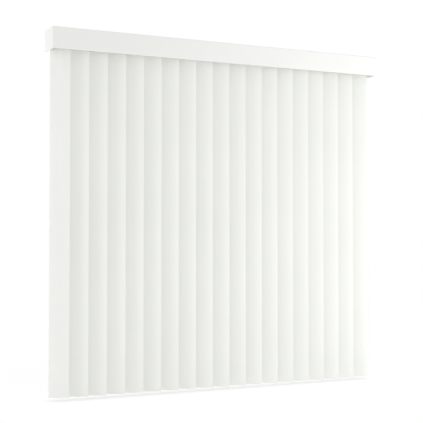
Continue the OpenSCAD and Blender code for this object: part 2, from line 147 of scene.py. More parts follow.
class BlindFastenerSizes(bpy.types.PropertyGroup):
    """Sizes of the end-cap screws, and of the bolts and nuts on the brackets."""

    screw_head: length("Screw head", "Radius of a screw's pan head", 2.8 * MILLIMETRE)
    screw_head_height: length("Screw head height", "Height of a screw's pan head", 1.8 * MILLIMETRE)
    screw_radius: length("Screw radius", "Radius over a screw's thread", 1.4 * MILLIMETRE)
    screw_pitch: length("Screw pitch", "Pitch of a screw's thread", 1.1 * MILLIMETRE)
    recess: length("Recess", "Width of the cross recess at the top of a screw's head", 3.0 * MILLIMETRE)
    recess_depth: length("Recess depth", "Depth of the cross recess", 1.2 * MILLIMETRE)
    hexagon: length("Hexagon", "Radius over the corners of a bolt's head or nut", 4.6 * MILLIMETRE)
    bolt_head_height: length("Bolt head height", "Height of a bolt's head", 3.2 * MILLIMETRE)
    bolt_radius: length("Bolt radius", "Radius over a bolt's thread", 2.5 * MILLIMETRE)
    bolt_pitch: length("Bolt pitch", "Pitch of a bolt's thread", 0.8 * MILLIMETRE)
    nut_bore: length("Nut bore", "Radius of a nut's bore", 2.58 * MILLIMETRE)


class BlindFinishes(bpy.types.PropertyGroup):
    """Colours of the finishes."""

    vane: colour("Vanes", "Smooth vinyl of the vanes", (0.853, 0.861, 0.827))
    # Painted shade: the valance is the vanes' vinyl given a darker colour, which stands in for the shade on
    # its face
    valance: colour("Valance", "Smooth vinyl of the valance", (0.816, 0.821, 0.795))
    moulded: colour("Mouldings", "Moulded end caps, corners, clips and hangers", (0.80, 0.80, 0.77))
    carrier: colour("Carriers", "Acetal of the carriers", (0.70, 0.71, 0.68))
    rail: colour("Headrail", "Enamel of the headrail", (0.78, 0.78, 0.76))
    rod: colour("Tilt rod", "Drawn aluminium of the tilt rod", (0.78, 0.79, 0.80))
    bracket: colour("Brackets", "Zinc plate of the wall brackets", (0.62, 0.63, 0.64))
    clip: colour("Rail clips", "Spring steel of the rail clips and fasteners", (0.50, 0.50, 0.51))
    floor: colour("Floor", "Matt floor under the blind, for the light it bounces", (0.80, 0.80, 0.80))
    shadow: colour("Floor shadow", "Part of the shown floor that takes the shadow", (0.50, 0.50, 0.50))


class BlindStage(bpy.types.PropertyGroup):
    """Camera, floor and light."""

    lens: bpy.props.FloatProperty(
        name="Lens", description="Focal length of the camera", default=82.6, subtype="DISTANCE_CAMERA"
    )
    camera_x: length("Camera X", "Place of the camera along the blind", -2.0076)
    camera_y: length("Camera Y", "Place of the camera in front of the wall", -4.1323)
    camera_z: length("Camera Z", "Height of the camera over the wall screws", -0.8817)
    yaw: bpy.props.FloatProperty(
        name="Yaw", description="Turn of the camera to the right of the wall's normal",
        default=math.radians(25.625), subtype="ANGLE",
    )
    pitch: bpy.props.FloatProperty(
        name="Pitch", description="Lift of the camera's view over the horizon",
        default=math.radians(1.664), subtype="ANGLE",
    )
    floor_gap: length("Floor gap", "Gap between the vanes and the floor", 12 * MILLIMETRE)
    floor_radius: length("Floor radius", "Radius of the round floor", 1.6)
    fade_start: level("Fade start", "Part of the floor's radius at which it starts to fade to white", 0.55)
    fade_end: level("Fade end", "Part of the floor's radius at which it is white", 0.95)
    floor_glow: level("Floor glow", "Level at which the floor shows by itself", 0.583)
    floor_light: level("Floor light", "Level of the light that the floor adds to its bounce", 0.203)
    # Painted shade on the floor close under the vanes, where ambient occlusion darkens its glow
    painted_shade_reach: length("Contact reach", "Distance of the vanes that darkens the floor", 50 * MILLIMETRE)
    painted_shade_power: level("Contact power", "Strength of that darkening", 1.3)
    ambient: level("Ambient", "Level of the soft light from all round", 0.838)
    lean: bpy.props.FloatVectorProperty(
        name="Lean", description="Where the soft light is stronger, and by how much",
        default=(0.0, 0.107, -0.16), size=3, subtype="DIRECTION",
    )
    key: power("Key lamp", "Power of the lamp at the front right", 32.5)
    front: power("Front lamp", "Power of the broad lamp behind the camera", 16.8)
    side: power("Side lamp", "Power of the lamp at the left", 16.0)
    rim: power("Rim lamp", "Power of the lamp at the left behind the blind", 10.8)


# Building nodes

def add_node(tree, kind, **settings):
    """Adds a node and sets its own settings."""
    node = tree.nodes.new(kind)
    for name, value in settings.items():
        setattr(node, name, value)
    return node


def feed(tree, socket, value):
    """Links a socket to another one, or gives it a plain value."""
    if isinstance(value, bpy.types.NodeSocket):
        tree.links.new(value, socket)
    else:
        socket.default_value = value


def make(tree, kind, output=0, settings=None, **values):
    """Adds a node, feeds its sockets by name (underscores for spaces) and gives one output."""
    node = add_node(tree, kind, **(settings or {}))
    for name, value in values.items():
        feed(tree, node.inputs[name.replace("_", " ")], value)
    return node.outputs[output]


def make_in_order(tree, kind, values, **settings):
    """Adds a node, feeds its sockets in their order and gives the node."""
    node = add_node(tree, kind, **settings)
    for socket, value in zip(node.inputs, values):
        feed(tree, socket, value)
    return node


def calc(tree, operation, *values):
    """A Math node's result."""
    return make_in_order(tree, "ShaderNodeMath", values, operation=operation).outputs[0]


def scaled(tree, value, factor):
    """A value times a factor."""
    return calc(tree, "MULTIPLY", value, factor)


def half(tree, value):
    """Half of a value."""
    return calc(tree, "DIVIDE", value, 2.0)


def vector(tree, x=0.0, y=0.0, z=0.0):
    """A vector from three values or sockets."""
    return make_in_order(tree, "ShaderNodeCombineXYZ", (x, y, z)).outputs[0]


# Building solids

def new_shape_tree(name, numbers, counts=(), places=()):
    """A Geometry Nodes tree with named inputs. Returns the tree and its input sockets by name."""
    tree = bpy.data.node_groups.new(name, "GeometryNodeTree")
    kinds = {"NodeSocketFloat": numbers, "NodeSocketInt": counts, "NodeSocketVector": places}
    for kind, labels in kinds.items():
        for label in labels:
            tree.interface.new_socket(label, in_out="INPUT", socket_type=kind)
    tree.interface.new_socket("Geometry", in_out="OUTPUT", socket_type="NodeSocketGeometry")
    group_input = add_node(tree, "NodeGroupInput")
    return tree, {label: group_input.outputs[label] for labels in kinds.values() for label in labels}


def close_shape_tree(tree, geometry, material, crease):
    """Ends a tree: smooth faces with creases, realized instances and the material."""
    smooth = make(
        tree, "GeometryNodeSetShadeSmooth", settings={"domain": "FACE"}, Geometry=geometry, Shade_Smooth=True
    )
    angle = add_node(tree, "GeometryNodeInputMeshEdgeAngle").outputs["Unsigned Angle"]
    sharp = make(
        tree, "GeometryNodeSetShadeSmooth", settings={"domain": "EDGE"},
        Geometry=smooth, Selection=calc(tree, "GREATER_THAN", angle, crease), Shade_Smooth=False,
    )
    realized = make(tree, "GeometryNodeRealizeInstances", Geometry=sharp)
    finished = make(tree, "GeometryNodeSetMaterial", Geometry=realized, Material=material)
    output = add_node(tree, "NodeGroupOutput")
    tree.links.new(finished, output.inputs["Geometry"])


def grow(tree, name, values, material, body, node):
    """Evaluates a tree with the given inputs and keeps its result as a plain piece on a body."""
    seed_mesh = bpy.data.meshes.new(name + "_seed")
    seed = bpy.data.objects.new(name + "_seed", seed_mesh)
    bpy.context.scene.collection.objects.link(seed)
    modifier = seed.modifiers.new("Shape", "NODES")
    modifier.node_group = tree
    sockets = {item.name: item.identifier for item in tree.interface.items_tree if item.in_out == "INPUT"}
    for label, value in values.items():
        modifier[sockets[label]] = value
    seed.update_tag()
    bpy.context.view_layer.update()
    depsgraph = bpy.context.evaluated_depsgraph_get()
    mesh = bpy.data.meshes.new_from_object(seed.evaluated_get(depsgraph))
    seed.modifiers.remove(modifier)
    bpy.data.objects.remove(seed)
    bpy.data.meshes.remove(seed_mesh)
    if not mesh.polygons:
        raise RuntimeError(name + " came out empty")
    mesh.name = name
    mesh.materials.clear()
    mesh.materials.append(material)
    piece = bpy.data.objects.new(name, mesh)
    bpy.context.scene.collection.objects.link(piece)
    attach(piece, body)
    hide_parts(node)


def moved(tree, geometry, x=0.0, y=0.0, z=0.0):
    """A shape or curve moved along the axes."""
    return make(tree, "GeometryNodeTransform", Geometry=geometry, Translation=vector(tree, x, y, z))


def spun(tree, geometry, angle):
    """A shape or curve turned about Z."""
    return make(tree, "GeometryNodeTransform", Geometry=geometry, Rotation=vector(tree, z=angle))


def hung(tree, geometry, place, turn):
    """A shape turned clockwise about its own axis, seen from above, and moved to its place."""
    clockwise = vector(tree, z=scaled(tree, turn, -1.0))
    return make(tree, "GeometryNodeTransform", Geometry=geometry, Translation=place, Rotation=clockwise)


def circle(tree, radius, corners):
    """A flat round outline, or a regular one with few corners."""
    return make(
        tree, "GeometryNodeCurvePrimitiveCircle", settings={"mode": "RADIUS"},
        Resolution=corners, Radius=radius,
    )


def rectangle(tree, width, height):
    """A flat outline with square corners."""
    return make(tree, "GeometryNodeCurvePrimitiveQuadrilateral", Width=width, Height=height)


def rounded_rectangle(tree, width, height, radius):
    """A flat outline with round corners."""
    corner_points = 6
    return make(
        tree, "GeometryNodeFilletCurve", settings={"mode": "POLY"},
        Curve=rectangle(tree, width, height), Radius=radius, Count=corner_points,
    )


def upright(tree, path):
    """A path along which an outline keeps its own upright."""
    return make(tree, "GeometryNodeSetCurveNormal", settings={"mode": "Z_UP"}, Curve=path)


def swept(tree, path, outline, scale=1.0):
    """A closed solid drawn along a path."""
    return make(
        tree, "GeometryNodeCurveToMesh", Curve=path, Profile_Curve=outline, Scale=scale, Fill_Caps=True
    )


def pick(tree, values):
    """The value that belongs to a point by its place along a line."""
    node = add_node(tree, "GeometryNodeIndexSwitch", data_type="FLOAT")
    while len(node.index_switch_items) < len(values):
        node.index_switch_items.new()
    tree.links.new(add_node(tree, "GeometryNodeInputIndex").outputs[0], node.inputs["Index"])
    for number, value in enumerate(values):
        feed(tree, node.inputs[number + 1], value)
    return node.outputs[0]


def lofted(tree, outline, stations):
    """A solid drawn up Z from an outline of unit size, whose size and height follow the stations."""
    sizes, heights = zip(*stations)
    path = make(tree, "GeometryNodeMeshToCurve", Mesh=make(tree, "GeometryNodeMeshLine", Count=len(stations)))
    stops = vector(tree, z=pick(tree, heights))
    path = make(tree, "GeometryNodeSetPosition", Geometry=path, Position=stops)
    return swept(tree, path, outline, pick(tree, sizes))


def slab(tree, outline, foot, height):
    """A flat outline, filled and drawn up from its foot to a closed solid."""
    face = make(tree, "GeometryNodeFillCurve", settings={"mode": "NGONS"}, Curve=outline)
    raised = make(
        tree, "GeometryNodeExtrudeMesh", settings={"mode": "FACES"}, Mesh=face,
        Offset=vector(tree, z=1.0), Offset_Scale=height, Individual=False,
    )
    under = make(tree, "GeometryNodeFlipFaces", Mesh=face)
    both = add_node(tree, "GeometryNodeJoinGeometry")
    tree.links.new(raised, both.inputs[0])
    tree.links.new(under, both.inputs[0])
    weld = 0.001 * MILLIMETRE
    closed = make(tree, "GeometryNodeMergeByDistance", Geometry=both.outputs[0], Distance=weld)
    return moved(tree, closed, z=foot)


def block(tree, x, y, z, middle):
    """A box on the Z axis, with its middle at a given height."""
    return moved(tree, make(tree, "GeometryNodeMeshCube", Size=vector(tree, x, y, z)), z=middle)


def combine(tree, operation, solids):
    """Solids made one, or what they share."""
    node = add_node(tree, "GeometryNodeMeshBoolean", operation=operation, solver="EXACT")
    for solid in solids:
        tree.links.new(solid, node.inputs["Mesh 2"])
    return node.outputs[0]


def cut(tree, solid, cutters):
    """A solid less its cutters."""
    node = add_node(tree, "GeometryNodeMeshBoolean", operation="DIFFERENCE", solver="EXACT")
    tree.links.new(solid, node.inputs["Mesh 1"])
    for cutter in cutters:
        tree.links.new(cutter, node.inputs["Mesh 2"])
    return node.outputs[0]


# Finishes, with the scale of their noise in features per metre

def start_material(name, metallic=0.0):
    """A new material, its tree, its Principled shader and its Object coordinates."""
    material = bpy.data.materials.new(name)
    material.use_nodes = True
    tree = material.node_tree
    shader = next(node for node in tree.nodes if node.type == "BSDF_PRINCIPLED")
    shader.inputs["Metallic"].default_value = metallic
    place = add_node(tree, "ShaderNodeTexCoord").outputs["Object"]
    return material, tree, shader, place


def stretched(tree, place, scale):
    """Coordinates in features, from one scale or from one for each axis."""
    per_axis = scale if isinstance(scale, tuple) else (scale, scale, scale)
    return make(tree, "ShaderNodeMapping", Vector=place, Scale=per_axis)


def noise(tree, place, scale, detail=2.0):
    """Soft noise of a given scale."""
    features = stretched(tree, place, scale)
    return make(tree, "ShaderNodeTexNoise", Vector=features, Scale=1.0, Detail=detail, Roughness=0.5)


def tint(tree, shader, factor, base, spread):
    """Lets the colour move a little darker and lighter than its base."""
    ramp = add_node(tree, "ShaderNodeValToRGB")
    low, high = ramp.color_ramp.elements
    low.position, high.position = NOISE_LOW, NOISE_HIGH
    low.color = [channel * (1 - spread) for channel in base] + [1.0]
    high.color = [min(channel * (1 + spread), 1.0) for channel in base] + [1.0]
    feed(tree, ramp.inputs["Fac"], factor)
    tree.links.new(ramp.outputs["Color"], shader.inputs["Base Color"])


def roughen(tree, shader, factor, low, high):
    """Lets the roughness move between two values."""
    value = make(
        tree, "ShaderNodeMapRange", Value=factor,
        From_Min=NOISE_LOW, From_Max=NOISE_HIGH, To_Min=low, To_Max=high,
    )
    tree.links.new(value, shader.inputs["Roughness"])


def bump(tree, shader, height, strength, distance):
    """Bump from a height."""
    normal = make(tree, "ShaderNodeBump", Height=height, Strength=strength, Distance=distance)
    tree.links.new(normal, shader.inputs["Normal"])


def vinyl(name, base, along, glow_through):
    """Smooth extruded vinyl: faint lines along the strip, a satin sheen, slight clouding and translucence."""
    material, tree, shader, place = start_material(name)
    shader.inputs["Subsurface Weight"].default_value = glow_through
    shader.inputs["Subsurface Radius"].default_value = (1.0, 1.0, 1.0)
    shader.inputs["Subsurface Scale"].default_value = 1.2 * MILLIMETRE
    across, lengthwise = 700.0, 1.5
    streaks = noise(tree, place, tuple(lengthwise if axis == along else across for axis in "XYZ"))
    clouds = noise(tree, place, scale=3.0)
    tint(tree, shader, clouds, base, spread=0.008)
    roughen(tree, shader, streaks, low=0.38, high=0.46)
    bump(tree, shader, streaks, strength=0.12, distance=0.04 * MILLIMETRE)
    return material


def moulded(name, base, rough):
    """Moulded plastic with a fine spark-eroded grain."""
    material, tree, shader, place = start_material(name)
    grain = noise(tree, place, scale=1800.0, detail=3.0)
    clouds = noise(tree, place, scale=25.0)
    tint(tree, shader, clouds, base, spread=0.02)
    roughen(tree, shader, grain, low=rough - 0.05, high=rough + 0.05)
    bump(tree, shader, grain, strength=0.2, distance=0.03 * MILLIMETRE)
    return material


def enamel(name, base):
    """Baked enamel with a slight ripple in its gloss."""
    material, tree, shader, place = start_material(name)
    ripple = noise(tree, place, scale=350.0)
    clouds = noise(tree, place, scale=6.0)
    tint(tree, shader, clouds, base, spread=0.012)
    roughen(tree, shader, clouds, low=0.26, high=0.34)
    bump(tree, shader, ripple, strength=0.08, distance=0.05 * MILLIMETRE)
    return material


def drawn_metal(name, base):
    """Drawn aluminium with fine lines along the rod."""
    material, tree, shader, place = start_material(name, metallic=1.0)
    lines = noise(tree, place, scale=(4.0, 2500.0, 2500.0), detail=3.0)
    tint(tree, shader, lines, base, spread=0.05)
    roughen(tree, shader, lines, low=0.25, high=0.42)
    bump(tree, shader, lines, strength=0.15, distance=0.02 * MILLIMETRE)
    return material


def plated_steel(name, base, crystals):
    """Zinc plate: small crystals of slightly different grey and gloss."""
    material, tree, shader, place = start_material(name, metallic=1.0)
    features = stretched(tree, place, crystals)
    cells = make(tree, "ShaderNodeTexVoronoi", output="Color", Vector=features, Scale=1.0)
    shade = make(tree, "ShaderNodeSeparateColor", Color=cells)
    grain = noise(tree, place, scale=1200.0, detail=3.0)
    tint(tree, shader, shade, base, spread=0.06)
    roughen(tree, shader, shade, low=0.32, high=0.48)
    bump(tree, shader, grain, strength=0.12, distance=0.03 * MILLIMETRE)
    return material


def coat(nodes, material):
    """Gives frame nodes a finish."""
    for name in nodes:
        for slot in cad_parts[name].material_slots:
            slot.material = material


# Vanes

def vane_tree(material):
    """Tree of one vane: an upright strip swept along a flat arc, with the hanger's slot cut near its top."""
    numbers = [
        "Width", "Length", "Thickness", "Bow", "Edge", "Slot Length", "Slot Height", "Slot Margin", "Turn",
    ]
    tree, given = new_shape_tree("Vane", numbers, places=["Foot"])
    half_width = half(tree, given["Width"])
    squares = calc(tree, "ADD", calc(tree, "POWER", half_width, 2.0), calc(tree, "POWER", given["Bow"], 2.0))
    radius = calc(tree, "DIVIDE", squares, scaled(tree, given["Bow"], 2.0))
    reach = calc(tree, "ARCSINE", calc(tree, "DIVIDE", half_width, radius))
    middle = calc(tree, "SUBTRACT", radius, half(tree, given["Thickness"]))
    arc_points = 41
    arc = make(
        tree, "GeometryNodeCurveArc", settings={"mode": "RADIUS"}, Resolution=arc_points, Radius=middle,
        Start_Angle=calc(tree, "SUBTRACT", -math.pi / 2, reach), Sweep_Angle=scaled(tree, reach, 2.0),
    )
    arc = moved(tree, arc, y=middle, z=half(tree, given["Length"]))
    outline = rounded_rectangle(tree, given["Thickness"], given["Length"], given["Edge"])
    strip = swept(tree, upright(tree, arc), outline)

    nearly_half = 0.475
    rounding = scaled(tree, given["Slot Height"], nearly_half)
    slot = rounded_rectangle(tree, given["Slot Length"], given["Slot Height"], rounding)
    slot_top = calc(tree, "SUBTRACT", given["Length"], given["Slot Margin"])
    slot_middle = calc(tree, "SUBTRACT", slot_top, half(tree, given["Slot Height"]))
    path = make(
        tree, "GeometryNodeCurvePrimitiveLine",
        Start=vector(tree, 0.0, scaled(tree, given["Bow"], -1.0), slot_middle),
        End=vector(tree, 0.0, given["Bow"], slot_middle),
    )
    vane = cut(tree, strip, [swept(tree, upright(tree, path), slot)])
    close_shape_tree(tree, hung(tree, vane, given["Foot"], given["Turn"]), material, VANE_CREASE)
    return tree


class BLIND_OT_vanes(bpy.types.Operator):
    """Makes the bowed vanes, each on its own body"""

    bl_idname = "blind.vanes"
    bl_label = "Make vanes"

    def execute(self, context):
        sizes = context.scene.blind_vanes
        material = vinyl("vane_vinyl", context.scene.blind_finishes.vane, along="Z", glow_through=0.45)
        tree = vane_tree(material)
        for number, node in enumerate(VANE_NODES):
            values = {
                "Width": sizes.width, "Length": sizes.height, "Thickness": sizes.thickness, "Bow": sizes.bow,
                "Edge": sizes.edge, "Slot Length": sizes.slot_length, "Slot Height": sizes.slot_height,
                "Slot Margin": sizes.slot_margin, "Turn": sizes.turn,
                "Foot": (sizes.first + number * sizes.pitch, sizes.back, VANE_FOOT),
            }
            grow(tree, "slat_" + node[-2:], values, material, node, node)
        return {"FINISHED"}


# Hangers

def toothed_outline(tree, radius, depth, teeth):
    """The outline of a toothed wheel: every tooth has a corner at each foot and at each end of its tip."""
    corners = 4.0
    flank_share = 0.2
    extra_tip_share = 0.1
    index = add_node(tree, "GeometryNodeInputIndex").outputs[0]
    corner = calc(tree, "MODULO", index, corners)
    tooth = calc(tree, "FLOOR", calc(tree, "DIVIDE", index, corners))
    tip_middle = 1.5
    past_tip = calc(tree, "GREATER_THAN", corner, tip_middle)
    share = calc(tree, "ADD", scaled(tree, corner, flank_share), scaled(tree, past_tip, extra_tip_share))
    step = calc(tree, "DIVIDE", 2 * math.pi, teeth)
    angle = calc(tree, "MULTIPLY", calc(tree, "ADD", tooth, share), step)
    from_tip = calc(tree, "ABSOLUTE", calc(tree, "SUBTRACT", corner, tip_middle))
    off_tip = calc(tree, "SUBTRACT", 1.0, calc(tree, "LESS_THAN", from_tip, 1.0))
    distance = calc(tree, "SUBTRACT", radius, calc(tree, "MULTIPLY", off_tip, depth))
    x = calc(tree, "MULTIPLY", distance, calc(tree, "COSINE", angle))
    y = calc(tree, "MULTIPLY", distance, calc(tree, "SINE", angle))
    outline = circle(tree, radius, scaled(tree, teeth, corners))
    return make(tree, "GeometryNodeSetPosition", Geometry=outline, Position=vector(tree, x, y))


def hanger_tree(material):
    """Tree of one hanger, with its heights from the headrail's underside."""
    numbers = [
        "Stem Radius", "Stem Foot", "Wheel Level", "Wheel Height", "Wheel Radius", "Tooth",
        "Slit", "Slit Top", "Nib Width", "Nib Height", "Nib Top", "Turn",
    ]
    tree, given = new_shape_tree("Hanger", numbers, counts=["Teeth"], places=["Axis"])
    wheel = toothed_outline(tree, given["Wheel Radius"], given["Tooth"], given["Teeth"])
    wheel = slab(tree, wheel, given["Wheel Level"], given["Wheel Height"])

    stem_height = calc(tree, "SUBTRACT", given["Wheel Level"], given["Stem Foot"])
    into_wheel = 0.5 * MILLIMETRE
    stem_height = calc(tree, "ADD", stem_height, into_wheel)
    stem = slab(tree, circle(tree, given["Stem Radius"], corners=40), given["Stem Foot"], stem_height)
    slit_height = calc(tree, "SUBTRACT", given["Slit Top"], given["Stem Foot"])
    past_stem = scaled(tree, given["Stem Radius"], 4.0)
    slit = block(tree, past_stem, given["Slit"], scaled(tree, slit_height, 2.0), given["Stem Foot"])
    stem = cut(tree, stem, [slit])

    past_slit = scaled(tree, given["Slit"], 1.25)
    nib_middle = calc(tree, "SUBTRACT", given["Nib Top"], half(tree, given["Nib Height"]))
    nib = block(tree, given["Nib Width"], past_slit, given["Nib Height"], nib_middle)
    hanger = combine(tree, "UNION", [wheel, stem, nib])
    close_shape_tree(tree, hung(tree, hanger, given["Axis"], given["Turn"]), material, HANGER_CREASE)
    return tree


class BLIND_OT_hangers(bpy.types.Operator):
    """Makes the hangers: a toothed wheel on a slit stem, with the nib that carries the vane"""

    bl_idname = "blind.hangers"
    bl_label = "Make hangers"

    def execute(self, context):
        vanes = context.scene.blind_vanes
        sizes = context.scene.blind_hangers
        material = moulded("hanger_plastic", context.scene.blind_finishes.moulded, rough=0.4)
        tree = hanger_tree(material)
        for number, node in enumerate(VANE_NODES):
            values = {
                "Stem Radius": sizes.stem_radius, "Stem Foot": sizes.stem_foot,
                "Wheel Level": sizes.gear_level, "Wheel Height": sizes.gear_height,
                "Wheel Radius": sizes.gear_radius, "Tooth": sizes.gear_tooth, "Teeth": sizes.teeth,
                "Slit": sizes.slit, "Slit Top": sizes.slit_top, "Nib Width": sizes.nib_width,
                "Nib Height": sizes.nib_height, "Nib Top": sizes.nib_top, "Turn": vanes.turn,
                "Axis": (vanes.first + number * vanes.pitch, vanes.back, RAIL_FOOT),
            }
            grow(tree, "hanger_" + node[-2:], values, material, node, node)
        return {"FINISHED"}


# Fasteners

def threaded(tree, radius, pitch, foot, top):
    """The ridge of a thread from one height to another, and the radius of its core."""
    depth_share = 0.42
    core_share = 0.15
    ridge_corners = 4
    points_a_turn = 24
    depth = scaled(tree, pitch, depth_share)
    start = calc(tree, "ADD", foot, depth)
    rise = calc(tree, "SUBTRACT", calc(tree, "SUBTRACT", top, depth), start)
    middle = calc(tree, "SUBTRACT", radius, depth)
    coil = make(
        tree, "GeometryNodeCurveSpiral", Resolution=points_a_turn, Height=rise,
        Rotations=calc(tree, "DIVIDE", rise, pitch), Start_Radius=middle, End_Radius=middle,
    )
    coil = upright(tree, moved(tree, coil, z=start))
    core = calc(tree, "ADD", middle, scaled(tree, depth, core_share))
    return swept(tree, coil, circle(tree, depth, ridge_corners)), core


def chamfered_hexagon(tree, radius, height, both_faces):
    """A hexagonal bar whose lower corners, and its upper ones where asked, are turned off."""
    bar = slab(tree, circle(tree, radius, corners=6), 0.0, height)
    narrow = scaled(tree, radius, 0.84)
    wide = scaled(tree, radius, 1.03)
    chamfer = 0.13
    upper = (narrow, height) if both_faces else (wide, scaled(tree, height, 1.2))
    stations = [
        (narrow, 0.0), (wide, scaled(tree, height, chamfer)),
        (wide, scaled(tree, height, 1 - chamfer)), upper,
    ]
    # Half a step of turn keeps the round outline's corners off those of the hexagon
    sides = 48
    outline = spun(tree, circle(tree, 1.0, sides), math.pi / sides)
    return combine(tree, "INTERSECT", [bar, lofted(tree, outline, stations)])


def screw_tree(material):
    """Tree of the end-cap screws: pan heads with a cross recess on threaded shanks, in a grid of four."""
    numbers = [
        "Head Radius", "Head Height", "Radius", "Pitch", "Recess", "Recess Depth", "Tip", "Span X", "Span Y",
    ]
    tree, given = new_shape_tree("Screws", numbers, places=["Middle"])
    dome = [(1.0, 0.0), (1.0, 0.4), (0.96, 0.62), (0.86, 0.8), (0.7, 0.92), (0.45, 0.985), (0.2, 1.0)]
    head = lofted(tree, circle(tree, 1.0, corners=40), [
        (scaled(tree, given["Head Radius"], across), scaled(tree, given["Head Height"], up))
        for across, up in dome
    ])
    wing_share = 0.27
    recess_foot = calc(tree, "SUBTRACT", given["Head Height"], given["Recess Depth"])
    over_head = scaled(tree, given["Head Height"], 1.05)
    wing = lofted(tree, rectangle(tree, 1.0, wing_share), [
        (half(tree, given["Recess"]), recess_foot), (given["Recess"], over_head),
    ])
    head = cut(tree, head, [wing, spun(tree, wing, math.pi / 2)])

    taper = 0.2
    tip_end = calc(tree, "ADD", given["Tip"], given["Radius"])
    under_head = scaled(tree, given["Pitch"], -0.2)
    inside_head = scaled(tree, given["Head Height"], 0.15)
    ridge, core = threaded(tree, given["Radius"], given["Pitch"], tip_end, under_head)
    shank = lofted(tree, circle(tree, 1.0, corners=24), [
        (scaled(tree, core, taper), given["Tip"]), (core, tip_end), (core, inside_head),
    ])
    screw = combine(tree, "UNION", [head, shank, ridge])
    grid = make(
        tree, "GeometryNodeMeshGrid", Size_X=given["Span X"], Size_Y=given["Span Y"],
        Vertices_X=2, Vertices_Y=2,
    )
    grid = make(tree, "GeometryNodeTransform", Geometry=grid, Translation=given["Middle"])
    screws = make(tree, "GeometryNodeInstanceOnPoints", Points=grid, Instance=screw)
    close_shape_tree(tree, screws, material, FASTENER_CREASE)
    return tree


def bracket_row(tree, given, shape):
    """One of a shape at each bracket."""
    line = make(
        tree, "GeometryNodeMeshLine", Count=len(BRACKET_NODES),
        Start_Location=given["First"], Offset=given["Step"],
    )
    return make(tree, "GeometryNodeInstanceOnPoints", Points=line, Instance=shape)


def bolt_tree(material):
    """Tree of the bolts: a hexagon head below and a threaded shank with a turned end above."""
    numbers = ["Hexagon", "Head Height", "Radius", "Pitch", "End"]
    tree, given = new_shape_tree("Bolts", numbers, places=["First", "Step"])
    head = chamfered_hexagon(tree, given["Hexagon"], given["Head Height"], both_faces=False)
    lead = scaled(tree, given["Pitch"], 0.4)
    thread_foot = calc(tree, "ADD", given["Head Height"], given["Pitch"])
    thread_top = calc(tree, "SUBTRACT", given["End"], half(tree, lead))
    ridge, core = threaded(tree, given["Radius"], given["Pitch"], thread_foot, thread_top)
    shank = lofted(tree, circle(tree, 1.0, corners=32), [
        (core, half(tree, given["Head Height"])), (core, calc(tree, "SUBTRACT", given["End"], lead)),
        (calc(tree, "SUBTRACT", core, lead), given["End"]),
    ])
    bolt = combine(tree, "UNION", [head, shank, ridge])
    close_shape_tree(tree, bracket_row(tree, given, bolt), material, FASTENER_CREASE)
    return tree


def nut_tree(material):
    """Tree of the nuts, with their corners turned off on both faces."""
    tree, given = new_shape_tree("Nuts", ["Hexagon", "Height", "Bore"], places=["First", "Step"])
    nut = chamfered_hexagon(tree, given["Hexagon"], given["Height"], both_faces=True)
    under_nut = scaled(tree, given["Height"], -0.5)
    through_nut = scaled(tree, given["Height"], 2.0)
    bore = slab(tree, circle(tree, given["Bore"], corners=32), under_nut, through_nut)
    nut = cut(tree, nut, [bore])
    close_shape_tree(tree, bracket_row(tree, given, nut), material, FASTENER_CREASE)
    return tree


class BLIND_OT_fasteners(bpy.types.Operator):
    """Makes the screws of the end caps, and the bolts and nuts between brackets and rail clips"""

    bl_idname = "blind.fasteners"
    bl_label = "Make fasteners"

    def execute(self, context):
        sizes = context.scene.blind_fasteners
        material = plated_steel("fastener_zinc", context.scene.blind_finishes.clip, crystals=800.0)
        low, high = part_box("end_cap_screws")
        inset = 2 * sizes.screw_head
        seat = high.z - sizes.screw_head_height
        screws = {
            "Head Radius": sizes.screw_head, "Head Height": sizes.screw_head_height,
            "Radius": sizes.screw_radius, "Pitch": sizes.screw_pitch,
            "Recess": sizes.recess, "Recess Depth": sizes.recess_depth, "Tip": low.z - seat,
            "Span X": high.x - low.x - inset, "Span Y": high.y - low.y - inset,
            "Middle": ((low.x + high.x) / 2, (low.y + high.y) / 2, seat),
        }
        grow(screw_tree(material), "cap_screws", screws, material, "frame", "end_cap_screws")

        low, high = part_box("clip_bolts")
        row = {
            "First": (low.x + sizes.hexagon, (low.y + high.y) / 2, low.z),
            "Step": ((high.x - low.x) / 2 - sizes.hexagon, 0.0, 0.0),
        }
        bolts = {
            "Hexagon": sizes.hexagon, "Head Height": sizes.bolt_head_height, "Radius": sizes.bolt_radius,
            "Pitch": sizes.bolt_pitch, "End": high.z - low.z, **row,
        }
        grow(bolt_tree(material), "bracket_bolts", bolts, material, "frame", "clip_bolts")

        low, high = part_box("clip_nuts")
        row["First"] = row["First"][:2] + (low.z,)
        nuts = {"Hexagon": sizes.hexagon, "Height": high.z - low.z, "Bore": sizes.nut_bore, **row}
        grow(nut_tree(material), "bracket_nuts", nuts, material, "frame", "clip_nuts")
        return {"FINISHED"}


# Finishes of the frame's own pieces

class BLIND_OT_valance(bpy.types.Operator):
    """Finishes the valance's panel and returns, and the moulded corners, clips and end caps behind them"""

    bl_idname = "blind.valance"
    bl_label = "Finish valance"

    def execute(self, context):
        finishes = context.scene.blind_finishes
        # The valance's colour holds painted shade: the vanes' vinyl made darker
        panel = vinyl("valance_panel_vinyl", finishes.valance, along="X", glow_through=0.0)
        returns = vinyl("valance_return_vinyl", finishes.valance, along="Y", glow_through=0.0)
        coat(VALANCE_ALONG_X, panel)
        coat(VALANCE_ALONG_Y, returns)
        coat(MOULDED_NODES, moulded("moulded_white", finishes.moulded, rough=0.42))
        return {"FINISHED"}


class BLIND_OT_headrail(bpy.types.Operator):
    """Finishes the headrail, the tilt rod and the carriers"""

    bl_idname = "blind.headrail"
    bl_label = "Finish headrail"

    def execute(self, context):
        finishes = context.scene.blind_finishes
        coat(["headrail"], enamel("rail_enamel", finishes.rail))
        coat(["tilt_rod"], drawn_metal("rod_aluminium", finishes.rod))
        coat(CARRIER_NODES, moulded("carrier_plastic", finishes.carrier, rough=0.36))
        return {"FINISHED"}


